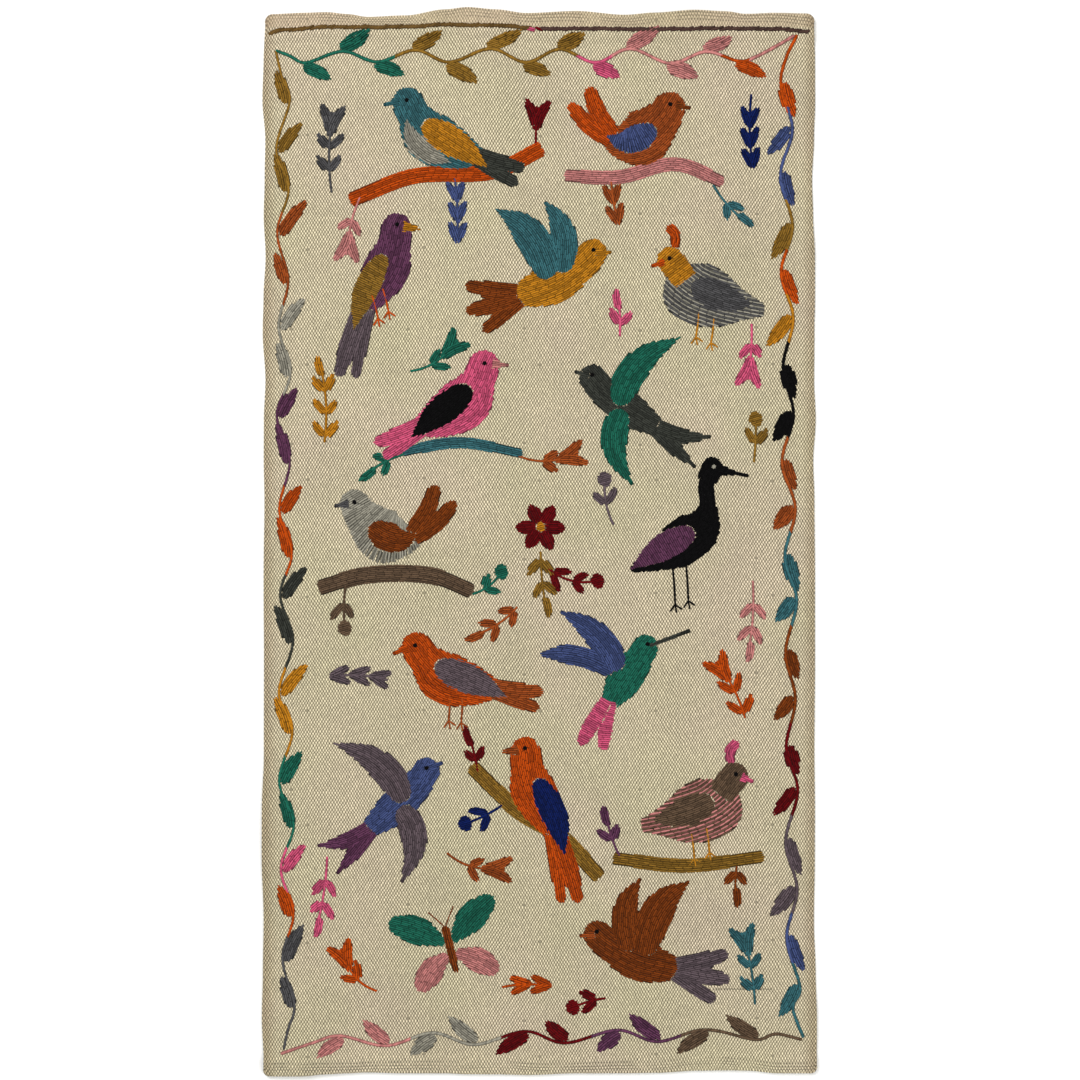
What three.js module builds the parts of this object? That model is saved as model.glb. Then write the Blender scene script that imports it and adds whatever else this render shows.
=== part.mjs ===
// A hand-embroidered flatweave rug lying face up on the floor, in millimetres.
// +X runs across the width, +Y along the length towards the deep-hemmed end, +Z is up.
// The origin is at the underside, in the middle of the rug's box.

import * as THREE from 'three';

// The cloth
const clothWidth = 756;         // selvedge to selvedge
const clothLength = 1461;       // fold to fold
const clothThickness = 2.8;
const selvedgeRound = 1.2;      // how far the rolled selvedge stands out past the flat cloth
const layerGap = 0.4;           // air between the two layers of a turned hem
const settleLength = 15;        // length in which the cloth comes down from a hem to the floor
const rawEdgeCover = 0.6;       // how far the upper layer runs on level past the raw edge

// The deep hem at the +Y end, closed by a yarn line that runs straighter than the folded edge
const hemLineY = 708;
const topCornerRadius = 9;
const rawEdgePastLine = 4.6;      // the turned-under raw edge lies this far past the yarn line
const lineHalfRoom = 3.8;       // level cloth on each side of the yarn line's centre

// The narrow hem at the -Y end, with two raised ribs along it
const lowHemDepth = 16.5;
const lowCornerRadius = 7;
const ribHeight = 0.9;
const ribWidth = 4.4;
const firstRibInset = 7.4;      // from the folded edge to the first rib's crest

// The yarn lines
const lineWidth = 5.6;
const lineHeight = 2.1;
const lineGap = 0.3;            // from the cloth to the yarn
const lineJoinX = -6;           // where the two colours meet
const lineEndInset = 5;         // from the selvedge to a line's end
const joinGap = 1.2;

// Mesh steps
const cornerSteps = 4;
const acrossSteps = 22;
const fieldSteps = 25;
const foldSteps = 6;
const settleSteps = 4;
const archSteps = 6;

// How far the side edges run out of the straight (+) or in (-), up the rug.
const sideWave = [
  { y: -715, left: 0.5, right: 3.0 },
  { y: -655, left: 3.0, right: 3.2 },
  { y: -595, left: 1.6, right: 1.6 },
  { y: -520, left: 0.6, right: -0.8 },
  { y: -430, left: 3.2, right: 0.4 },
  { y: -370, left: 3.0, right: 0.6 },
  { y: -290, left: 0.2, right: -0.2 },
  { y: -160, left: 0.0, right: 0.6 },
  { y: -50, left: 0.6, right: 0.6 },
  { y: 60, left: -0.6, right: -0.2 },
  { y: 114, left: 0.4, right: -1.8 },
  { y: 170, left: 0.2, right: 1.6 },
  { y: 224, left: -2.0, right: -0.6 },
  { y: 290, left: 1.8, right: -0.2 },
  { y: 340, left: 0.6, right: 0.6 },
  { y: 395, left: -2.2, right: 0.4 },
  { y: 450, left: 0.4, right: -2.0 },
  { y: 500, left: -0.8, right: -3.4 },
  { y: 555, left: -1.8, right: -0.8 },
  { y: 610, left: 2.0, right: 0.8 },
  { y: 665, left: 0.6, right: 0.6 },
  { y: 715, left: -2.0, right: -0.8 },
];

// How far the two folded ends run out (+) or in (-), from left to right.
const endWave = [
  { x: -370, top: -2.5, low: 4.0 },
  { x: -325, top: -0.6, low: 4.0 },
  { x: -295, top: 0.4, low: 1.4 },
  { x: -265, top: -2.4, low: 0.0 },
  { x: -238, top: -6.2, low: -1.2 },
  { x: -185, top: -4.2, low: 0.0 },
  { x: -130, top: 3.8, low: 0.0 },
  { x: -100, top: 6.8, low: 1.2 },
  { x: -60, top: 3.8, low: 1.4 },
  { x: -18, top: -1.0, low: 2.4 },
  { x: 50, top: 1.8, low: 0.0 },
  { x: 118, top: -3.4, low: 0.0 },
  { x: 160, top: -0.4, low: -0.6 },
  { x: 215, top: 3.2, low: -3.6 },
  { x: 258, top: 1.4, low: -4.0 },
  { x: 285, top: -2.2, low: -3.6 },
  { x: 325, top: -0.8, low: 0.0 },
  { x: 370, top: -1.6, low: 0.2 },
];

// How far the yarn line runs above (+) or below (-) its straight course.
const lineWave = [
  { x: -375, rise: -8.0 },
  { x: -350, rise: -2.0 },
  { x: -290, rise: 1.6 },
  { x: -190, rise: 2.0 },
  { x: -120, rise: 4.6 },
  { x: -50, rise: 3.4 },
  { x: 0, rise: -1.0 },
  { x: 80, rise: -0.6 },
  { x: 150, rise: -2.0 },
  { x: 240, rise: -0.4 },
  { x: 330, rise: -0.8 },
  { x: 375, rise: -5.0 },
];

// Soft lifts where the cloth doesn't quite lie down, each a low mound.
const lifts = [
  { x: -100, y: 716, reachX: 95, reachY: 70, height: 2.4 },
  { x: 205, y: 714, reachX: 80, reachY: 60, height: 1.8 },
  { x: -378, y: 615, reachX: 55, reachY: 60, height: 1.8 },
  { x: 380, y: 395, reachX: 45, reachY: 80, height: 1.4 },
  { x: -382, y: -400, reachX: 60, reachY: 110, height: 2.2 },
  { x: -340, y: -725, reachX: 90, reachY: 55, height: 2.2 },
  { x: 385, y: -660, reachX: 60, reachY: 75, height: 2.4 },
  { x: 150, y: 330, reachX: 170, reachY: 120, height: 1.0 },
  { x: -170, y: -260, reachX: 150, reachY: 140, height: 1.1 },
  { x: 190, y: -480, reachX: 130, reachY: 110, height: 0.9 },
];

const foldRadius = (clothThickness + layerGap) / 2;   // of the cloth's middle plane in a fold
const floorZ = clothThickness / 2;                    // of the middle plane on the floor
const hemZ = floorZ + 2 * foldRadius;                 // of the middle plane in a hem's upper layer

// The smooth value of one column of a table, at a place along its key column.
function readTable(table, key, column, place) {
  const lastStart = table.length - 2;
  let row = 0;
  while (row < lastStart && place > table[row + 1][key]) row += 1;
  const share = THREE.MathUtils.smoothstep(place, table[row][key], table[row + 1][key]);
  return THREE.MathUtils.lerp(table[row][column], table[row + 1][column], share);
}

// The height of the lifts at a place: each falls off as a squared cosine.
function liftAt(x, y) {
  let height = 0;
  for (const mound of lifts) {
    const distance = Math.hypot((x - mound.x) / mound.reachX, (y - mound.y) / mound.reachY);
    if (distance < 1) height += mound.height * Math.cos(distance * Math.PI / 2) ** 2;
  }
  return height;
}

// How far a rounded corner draws the folded edge back, this far in from the selvedge.
function cornerDraw(inset, radius) {
  if (inset >= radius) return 0;
  return radius - Math.sqrt(radius ** 2 - (radius - inset) ** 2);
}

// Places across the cloth as shares of its width, close together in the rounded corners.
function acrossShares() {
  const corner = [];
  for (let step = 0; step < cornerSteps; step += 1) {
    const angle = step / cornerSteps * Math.PI / 2;
    corner.push(topCornerRadius * (1 - Math.cos(angle)) / clothWidth);
  }
  const first = topCornerRadius / clothWidth;
  const middle = [];
  for (let step = 0; step <= acrossSteps; step += 1) {
    middle.push(THREE.MathUtils.lerp(first, 1 - first, step / acrossSteps));
  }
  return [...corner, ...middle, ...corner.map((share) => 1 - share).reverse()];
}

// The x of a share of the width, between the wavy selvedges.
function acrossX(share, y) {
  const left = -clothWidth / 2 - readTable(sideWave, 'y', 'left', y);
  const right = clothWidth / 2 + readTable(sideWave, 'y', 'right', y);
  return THREE.MathUtils.lerp(left, right, share);
}

// Part of a hem's fold: half a circle from the lower layer (turn 0) to the upper one (turn 1).
function foldPoint(centreY, outward, turn) {
  const angle = turn * Math.PI;
  const y = centreY + outward * foldRadius * Math.sin(angle);
  return { y, z: floorZ + foldRadius * (1 - Math.cos(angle)), rib: 0 };
}

// The cloth's way from a hem's raw edge down to the floor, in even steps.
function settle(fromY, inward) {
  const points = [];
  for (let step = 0; step <= settleSteps; step += 1) {
    const share = step / settleSteps;
    const fall = THREE.MathUtils.smoothstep(share, 0, 1);
    points.push({
      y: fromY + inward * settleLength * share,
      z: THREE.MathUtils.lerp(hemZ, floorZ, fall),
      rib: 0,
    });
  }
  return points;
}

// The narrow hem's section, from its raw edge out round the fold and back in to the floor.
function lowHemSection(x, inset) {
  const straightEdge = -clothLength / 2 - readTable(endWave, 'x', 'low', x);
  const edge = straightEdge + cornerDraw(inset, lowCornerRadius);
  const rawEdge = straightEdge + lowHemDepth;
  const foldCentre = edge + clothThickness / 2 + foldRadius;
  const points = [
    { y: rawEdge, z: floorZ, rib: 0 },
    { y: (rawEdge + foldCentre) / 2, z: floorZ, rib: 0 },
  ];
  for (let step = 0; step <= foldSteps; step += 1) {
    points.push(foldPoint(foldCentre, -1, step / foldSteps));
  }
  const crestRoom = rawEdge - foldCentre;
  const straightRoom = lowHemDepth - clothThickness / 2 - foldRadius;
  const squeeze = crestRoom / straightRoom;
  for (let half = 0; half <= 4; half += 1) {
    const straightInset = firstRibInset + (half - 1) * ribWidth / 2;
    const y = rawEdge - (lowHemDepth - straightInset) * squeeze;
    points.push({ y, z: hemZ, rib: half % 2 === 1 ? ribHeight : 0 });
  }
  return [...points, ...settle(rawEdge + rawEdgeCover, 1)];
}

// The deep hem's section, from its raw edge out round the fold and back in to the floor.
function topHemSection(x, inset) {
  const straightEdge = clothLength / 2 + readTable(endWave, 'x', 'top', x);
  const edge = straightEdge - cornerDraw(inset, topCornerRadius);
  const line = hemLineY + readTable(lineWave, 'x', 'rise', x);
  const rawEdge = line - rawEdgePastLine;
  const foldCentre = edge - clothThickness / 2 - foldRadius;
  const points = [
    { y: rawEdge, z: floorZ, rib: 0 },
    { y: (rawEdge + foldCentre) / 2, z: floorZ, rib: 0 },
  ];
  for (let step = 0; step <= foldSteps; step += 1) {
    points.push(foldPoint(foldCentre, 1, step / foldSteps));
  }
  points.push({ y: line + lineHalfRoom, z: hemZ, rib: 0, line: true });
  points.push({ y: line - lineHalfRoom, z: hemZ, rib: 0 });
  return [...points, ...settle(rawEdge - rawEdgeCover, -1)];
}

// One column of the cloth: its middle plane from raw edge to raw edge along the rug.
function clothColumn(share) {
  const nominalX = acrossX(share, 0);
  const inset = Math.min(share, 1 - share) * clothWidth;
  const low = lowHemSection(nominalX, inset);
  const top = topHemSection(nominalX, inset).reverse();
  const fieldFrom = low[low.length - 1].y;
  const fieldTo = top[0].y;
  const field = [];
  for (let step = 1; step < fieldSteps; step += 1) {
    field.push({ y: THREE.MathUtils.lerp(fieldFrom, fieldTo, step / fieldSteps), z: floorZ, rib: 0 });
  }
  return [...low, ...field, ...top].map((point) => {
    const x = acrossX(share, point.y);
    return { ...point, x, z: point.z + liftAt(x, point.y) };
  });
}

// Both faces of a column: its middle plane moved half the thickness along the normal each way.
function columnFaces(column) {
  return column.map((point, index) => {
    const before = column[Math.max(index - 1, 0)];
    const after = column[Math.min(index + 1, column.length - 1)];
    const run = Math.hypot(after.y - before.y, after.z - before.z);
    const normalY = -(after.z - before.z) / run;
    const normalZ = (after.y - before.y) / run;
    const faceOut = clothThickness / 2 + point.rib;
    const backOut = -clothThickness / 2;
    return {
      face: [point.x, point.y + normalY * faceOut, point.z + normalZ * faceOut],
      middle: [point.x, point.y, point.z],
      back: [point.x, point.y + normalY * backOut, point.z + normalZ * backOut],
    };
  });
}

// A closed solid from equal rings of points, with fans of triangles at its two ends.
function loftRings(rings, capTriangles) {
  const size = rings[0].length;
  const indices = [];
  for (let ring = 0; ring < rings.length - 1; ring += 1) {
    for (let place = 0; place < size; place += 1) {
      const next = (place + 1) % size;
      const here = ring * size;
      const there = here + size;
      indices.push(here + place, here + next, there + next);
      indices.push(here + place, there + next, there + place);
    }
  }
  const lastRing = (rings.length - 1) * size;
  for (const [a, b, c] of capTriangles) {
    indices.push(a, b, c);
    indices.push(lastRing + a, lastRing + c, lastRing + b);
  }
  const geometry = new THREE.BufferGeometry();
  geometry.setAttribute('position', new THREE.Float32BufferAttribute(rings.flat(2), 3));
  geometry.setIndex(indices);
  geometry.computeVertexNormals();
  return geometry;
}

// The cloth: rings run over the face, round a selvedge, back under and round the other one.
function clothGeometry(columns) {
  const faces = columns.map(columnFaces);
  const count = faces.length;
  const rings = faces[0].map((_, station) => {
    const [leftX, leftY, leftZ] = faces[0][station].middle;
    const [rightX, rightY, rightZ] = faces[count - 1][station].middle;
    return [
      ...faces.map((column) => column[station].face),
      [rightX + selvedgeRound, rightY, rightZ],
      ...faces.map((column) => column[station].back).reverse(),
      [leftX - selvedgeRound, leftY, leftZ],
    ];
  });
  const size = 2 * count + 2;
  const backOf = (column) => size - 2 - column;
  const capTriangles = [
    [0, size - 1, backOf(0)],
    [count - 1, backOf(count - 1), count],
  ];
  for (let column = 0; column < count - 1; column += 1) {
    capTriangles.push([column, backOf(column), column + 1]);
    capTriangles.push([column + 1, backOf(column), backOf(column + 1)]);
  }
  return loftRings(rings, capTriangles);
}

// The middle of the level strip that carries the yarn line, at each column of the cloth.
function hemLineRoute(columns) {
  return columns.map((column) => {
    const station = column.findIndex((point) => point.line);
    const outer = column[station];
    const inner = column[station - 1];
    return new THREE.Vector3(
      (outer.x + inner.x) / 2,
      (outer.y + inner.y) / 2,
      (outer.z + inner.z) / 2 + clothThickness / 2 + lineGap,
    );
  });
}

// The point of a route at an x, on the straight between its neighbours.
function routePoint(route, x) {
  const after = Math.max(route.findIndex((point) => point.x > x), 1);
  const from = route[after - 1];
  const to = route[after];
  return from.clone().lerp(to, (x - from.x) / (to.x - from.x));
}

// A yarn line: a low arch over a flat underside, drawn in at both ends.
function yarnLineGeometry(route, fromX, toX) {
  const inner = route.filter((point) => point.x > fromX + lineWidth && point.x < toX - lineWidth);
  const stretch = [
    routePoint(route, fromX),
    routePoint(route, fromX + lineWidth / 2),
    ...inner,
    routePoint(route, toX - lineWidth / 2),
    routePoint(route, toX),
  ];
  const rings = stretch.map((point, index) => {
    const isEnd = index === 0 || index === stretch.length - 1;
    const scale = isEnd ? 0.5 : 1;
    const ring = [];
    for (let step = 0; step <= archSteps; step += 1) {
      const angle = step / archSteps * Math.PI;
      ring.push([
        point.x,
        point.y + scale * lineWidth / 2 * Math.cos(angle),
        point.z + scale * lineHeight * Math.sin(angle),
      ]);
    }
    return ring;
  });
  const capTriangles = [];
  for (let step = 1; step < archSteps; step += 1) capTriangles.push([0, step + 1, step]);
  return loftRings(rings, capTriangles);
}

function fabric(colour) {
  return new THREE.MeshStandardMaterial({ color: colour, roughness: 0.95, metalness: 0 });
}

function namedMesh(name, geometry, colour) {
  const mesh = new THREE.Mesh(geometry, fabric(colour));
  mesh.name = name;
  return mesh;
}

const columns = acrossShares().map(clothColumn);
const hemRoute = hemLineRoute(columns);
const lineFrom = hemRoute[0].x + lineEndInset;
const lineTo = hemRoute[hemRoute.length - 1].x - lineEndInset;

const group = new THREE.Group();
group.add(namedMesh('rug', clothGeometry(columns), 0xcbbb9c));
group.add(namedMesh(
  'hem_line_olive',
  yarnLineGeometry(hemRoute, lineFrom, lineJoinX - joinGap),
  0x786243,
));
group.add(namedMesh(
  'hem_line_plum',
  yarnLineGeometry(hemRoute, lineJoinX + joinGap, lineTo),
  0x4a3236,
));

const box = new THREE.Box3().setFromObject(group);
const middle = box.getCenter(new THREE.Vector3());
group.position.set(-middle.x, -middle.y, -box.min.z);

export default group;
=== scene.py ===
# A hand-embroidered flatweave rug, lying face up on the floor and seen from straight above.
# Sizes are in millimetres until a mesh is written. x runs across the rug, y along it, z up.
import math

import bpy
import numpy as np
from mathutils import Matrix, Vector


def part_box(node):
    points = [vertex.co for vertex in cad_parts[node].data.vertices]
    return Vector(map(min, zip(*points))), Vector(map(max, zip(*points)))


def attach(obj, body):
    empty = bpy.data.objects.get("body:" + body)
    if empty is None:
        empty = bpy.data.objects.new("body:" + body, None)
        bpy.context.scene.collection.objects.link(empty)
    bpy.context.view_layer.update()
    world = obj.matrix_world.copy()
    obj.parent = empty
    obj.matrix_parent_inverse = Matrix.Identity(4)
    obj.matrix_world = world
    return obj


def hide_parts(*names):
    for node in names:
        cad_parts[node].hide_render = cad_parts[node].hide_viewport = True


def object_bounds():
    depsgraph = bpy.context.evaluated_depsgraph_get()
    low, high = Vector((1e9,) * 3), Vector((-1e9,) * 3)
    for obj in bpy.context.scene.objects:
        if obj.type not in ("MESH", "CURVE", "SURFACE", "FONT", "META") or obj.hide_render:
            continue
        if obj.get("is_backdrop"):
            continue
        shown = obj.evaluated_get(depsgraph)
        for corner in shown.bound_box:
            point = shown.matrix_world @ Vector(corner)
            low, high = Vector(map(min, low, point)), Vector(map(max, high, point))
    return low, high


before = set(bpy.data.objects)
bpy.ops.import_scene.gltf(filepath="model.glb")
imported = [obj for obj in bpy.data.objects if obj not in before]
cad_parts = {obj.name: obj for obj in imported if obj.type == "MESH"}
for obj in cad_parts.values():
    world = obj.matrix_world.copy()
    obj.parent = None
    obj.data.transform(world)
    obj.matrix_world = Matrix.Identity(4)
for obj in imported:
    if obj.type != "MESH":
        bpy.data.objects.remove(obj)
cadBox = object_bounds()
mm = 0.001
chance = np.random.default_rng(27)
scene = bpy.context.scene
scene.view_settings.view_transform = "Standard"

# The cloth

cloth = dict(
    width=756, length=1461, thickness=2.8,
    selvedgeRound=1.2, selvedgeRoll=0.4, selvedgeWidth=2.6,
    layerGap=0.4, settleLength=15, rawEdgeCover=0.6,
    hemLineY=708, topHemDepth=24, topCorner=9, rawEdgePastLine=4.6,
    lowHemDepth=16.5, lowCorner=7,
    ribHeight=0.9, ribWidth=4.2, ribInsets=(7.4, 11.8),
    columns=120, cornerColumns=7, fieldRows=232,
    underRows=4, foldRows=12, hemRows=26, settleRows=12, rimSteps=5,
    pucker=0.22,
)

# How far the side edges run out of the straight (+) or in (-), up the rug.
sideWave = dict(
    y=(-715, -655, -595, -520, -430, -370, -290, -160, -50, 60, 114, 170, 224, 290, 340,
          395, 450, 500, 555, 610, 665, 715),
    left=(0.5, 3, 1.6, 0.6, 3.2, 3, 0.2, 0, 0.6, -0.6, 0.4, 0.2, -2, 1.8, 0.6,
             -2.2, 0.4, -0.8, -1.8, 2, 0.6, -2),
    right=(3, 3.2, 1.6, -0.8, 0.4, 0.6, -0.2, 0.6, 0.6, -0.2, -1.8, 1.6, -0.6, -0.2, 0.6,
              0.4, -2, -3.4, -0.8, 0.8, 0.6, -0.8),
)

# How far the two folded ends run out (+) or in (-), from left to right.
endWave = dict(
    x=(-370, -325, -295, -265, -238, -185, -130, -100, -60, -18, 50, 118, 160, 215, 258,
          285, 325, 370),
    top=(-2.5, -0.6, 0.4, -2.4, -6.2, -4.2, 3.8, 6.8, 3.8, -1, 1.8, -3.4, -0.4, 3.2, 1.4,
            -2.2, -0.8, -1.6),
    low=(4, 4, 1.4, 0, -1.2, 0, 0, 1.2, 1.4, 2.4, 0, 0, -0.6, -3.6, -4,
            -3.6, 0, 0.2),
)

# How far the yarn line runs above (+) or below (-) its straight course.
lineWave = dict(
    x=(-375, -350, -290, -190, -120, -50, 0, 80, 150, 240, 330, 375),
    rise=(-8, -2, 1.6, 2, 4.6, 3.4, -1, -0.6, -2, -0.4, -0.8, -5),
)

# Soft lifts where the cloth doesn't quite lie down, each a low mound.
lifts = dict(
    x=(-100, 205, -378, 380, -382, -340, 385, 150, -170, 190),
    y=(716, 714, 615, 395, -400, -725, -660, 330, -260, -480),
    reachX=(95, 80, 55, 45, 60, 90, 60, 170, 150, 130),
    reachY=(70, 60, 60, 80, 110, 55, 75, 120, 140, 110),
    height=(2.4, 1.8, 1.8, 1.4, 2.2, 2.2, 2.4, 1, 1.1, 0.9),
)

foldRadius = (cloth["thickness"] + cloth["layerGap"]) / 2
floorZ = cloth["thickness"] / 2  # the cloth's middle plane on the floor
hemZ = floorZ + 2 * foldRadius  # and in a hem's upper layer


# Three s squared less two s cubed, for a share s held between 0 and 1.
def smoothShare(share):
    share = np.clip(share, 0, 1)
    return share * share * (3 - 2 * share)


# A column of a table at each place, eased between the two rows round it.
def readTable(table, key, column, places):
    keys = np.array(table[key], float)
    values = np.array(table[column], float)
    row = np.clip(np.searchsorted(keys, places) - 1, 0, len(keys) - 2)
    share = smoothShare((places - keys[row]) / (keys[row + 1] - keys[row]))
    return values[row] + (values[row + 1] - values[row]) * share


# The sum of the mounds at each place, each a squared cosine of the distance from its middle.
def liftAt(x, y):
    height = np.zeros(np.broadcast(x, y).shape)
    for midX, midY, reachX, reachY, high in zip(*lifts.values()):
        distance = np.minimum(np.hypot((x - midX) / reachX, (y - midY) / reachY), 1)
        height = height + high * np.cos(distance * math.pi / 2) ** 2
    return height


# The cloth drawn up a little by the sewing: a product of two crossed, bent sine waves.
def puckerAt(x, y):
    first = np.sin(x / 15 + 1.4 * np.sin(y / 47)) * np.sin(y / 21 + 1.1 * np.sin(x / 39))
    second = np.sin(x / 52 + y / 83) * np.sin(y / 61 - x / 97)
    return cloth["pucker"] * (0.6 * first + 0.4 * second)


# How far a rounded corner draws the folded edge back: a quarter circle of this radius.
def cornerDraw(inset, radius):
    inside = np.clip(radius - inset, 0, radius)
    return radius - np.sqrt(radius ** 2 - inside ** 2)


# x at a share of the width, between the two wavy selvedges.
def acrossX(share, y):
    left = -cloth["width"] / 2 - readTable(sideWave, "y", "left", y)
    right = cloth["width"] / 2 + readTable(sideWave, "y", "right", y)
    return left + (right - left) * share


# The yarn line's y: its straight course and its wander.
def hemLineAt(x):
    return cloth["hemLineY"] + readTable(lineWave, "x", "rise", x)


# The low end's y before its corners are drawn back.
def lowEndAt(x):
    return -cloth["length"] / 2 - readTable(endWave, "x", "low", x)


# The height of the cloth's face: flat cloth and mounds, and the eased rise onto either hem.
def faceAt(x, y):
    topFoot = hemLineAt(x) - cloth["rawEdgePastLine"] - cloth["rawEdgeCover"]
    lowFoot = lowEndAt(x) + cloth["lowHemDepth"] + cloth["rawEdgeCover"]
    reach = np.maximum(y - topFoot, lowFoot - y) / cloth["settleLength"]
    return cloth["thickness"] + (hemZ - floorZ) * smoothShare(reach + 1) + liftAt(x, y)


# One turned hem for all columns, as rows of (y, z, rib): under layer, half circle, upper layer
# with its ribs as half ellipses, and an eased way down to the floor.
def hemSection(edge, rawEdge, outward, depth, ribHeight):
    reach = cloth["thickness"] / 2 + foldRadius
    centre = edge - outward * reach

    def shares(key):
        return np.linspace(0, 1, cloth[key] + 1)

    rows = [(rawEdge + (centre - rawEdge) * share, floorZ, 0) for share in shares("underRows")[:-1]]
    for angle in shares("foldRows") * math.pi:
        y = centre + outward * foldRadius * math.sin(angle)
        rows.append((y, floorZ + foldRadius * (1 - math.cos(angle)), 0))
    for share in shares("hemRows")[1:]:
        inset = reach + share * (depth - reach)
        off = min(abs(inset - crest) for crest in cloth["ribInsets"]) / (cloth["ribWidth"] / 2)
        rib = ribHeight * math.sqrt(max(1 - off ** 2, 0))
        rows.append((centre + (rawEdge - centre) * share, hemZ, rib))
    for share in shares("settleRows"):
        y = rawEdge - outward * (cloth["rawEdgeCover"] + cloth["settleLength"] * share)
        rows.append((y, hemZ + (floorZ - hemZ) * smoothShare(share), 0))
    return rows


# The cloth's middle plane as a grid, rows from raw edge to raw edge and columns across.
def clothGrid():
    corner = np.linspace(0, math.pi / 2, cloth["cornerColumns"] + 1)[:-1]
    corner = cloth["topCorner"] * (1 - np.cos(corner)) / cloth["width"]
    edge = cloth["topCorner"] / cloth["width"]
    share = [corner, np.linspace(edge, 1 - edge, cloth["columns"]), 1 - corner[::-1]]
    share = np.concatenate(share)
    inset = np.minimum(share, 1 - share) * cloth["width"]
    x = acrossX(share, 0)
    lowEnd, depth = lowEndAt(x), cloth["lowHemDepth"]
    lowEdge = lowEnd + cornerDraw(inset, cloth["lowCorner"])
    low = hemSection(lowEdge, lowEnd + depth, -1, depth, cloth["ribHeight"])
    topEdge = cloth["length"] / 2 + readTable(endWave, "x", "top", x)
    topEdge = topEdge - cornerDraw(inset, cloth["topCorner"])
    topRaw = hemLineAt(x) - cloth["rawEdgePastLine"]
    top = hemSection(topEdge, topRaw, 1, cloth["topHemDepth"], 0)[::-1]
    steps = np.linspace(0, 1, cloth["fieldRows"] + 1)[1:-1]
    first, last = low[-1][0], top[0][0]
    rows = low + [(first + (last - first) * step, floorZ, 0) for step in steps] + top
    y, z, rib = (np.array([row[k] + np.zeros(len(x)) for row in rows]) for k in range(3))
    x = acrossX(share, y)
    return np.stack([x, y, z + liftAt(x, y)], -1), rib, inset


# A mesh from whole arrays: points, and faces as arrays with one row a face.
def makeMesh(name, points, faceGroups):
    mesh = bpy.data.meshes.new(name)
    corners = np.concatenate([faces.ravel() for faces in faceGroups]).astype(np.int32)
    counts = np.concatenate([np.full(len(faces), faces.shape[1]) for faces in faceGroups])
    mesh.vertices.add(len(points))
    mesh.vertices.foreach_set("co", (points * mm).astype(np.float32).ravel())
    mesh.loops.add(len(corners))
    mesh.loops.foreach_set("vertex_index", corners)
    mesh.polygons.add(len(counts))
    starts = np.concatenate([[0], np.cumsum(counts)[:-1]]).astype(np.int32)
    mesh.polygons.foreach_set("loop_start", starts)
    mesh.polygons.foreach_set("use_smooth", np.ones(len(counts), bool))
    mesh.update(calc_edges=True)
    mesh.validate()
    piece = bpy.data.objects.new(name, mesh)
    scene.collection.objects.link(piece)
    return piece, corners


def addUv(piece, name, places):
    layer = piece.data.uv_layers.new(name=name, do_init=False)
    layer.uv.foreach_set("vector", places.astype(np.float32).ravel())


# The weave repeats on its map every so many threads, so that the map can tile.
weave = dict(warpPitch=2.0, weftPitch=3.3, warpsInTile=80, weftsInTile=48,
         warpWander=0.45, weftWander=1.7)


# How far the threads stray from straight: sums of long, bent sine waves.
def threadWander(x, y):
    across = np.sin(x / 19 + 1.3 * np.sin(y / 31)) + 0.8 * np.sin(y / 44 - x / 71)
    along = np.sin(x / 48 + 0.9 * np.sin(y / 90)) + 0.5 * np.sin(x / 23 + y / 67)
    return np.stack([weave["warpWander"] * across, weave["weftWander"] * along], -1)


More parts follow.
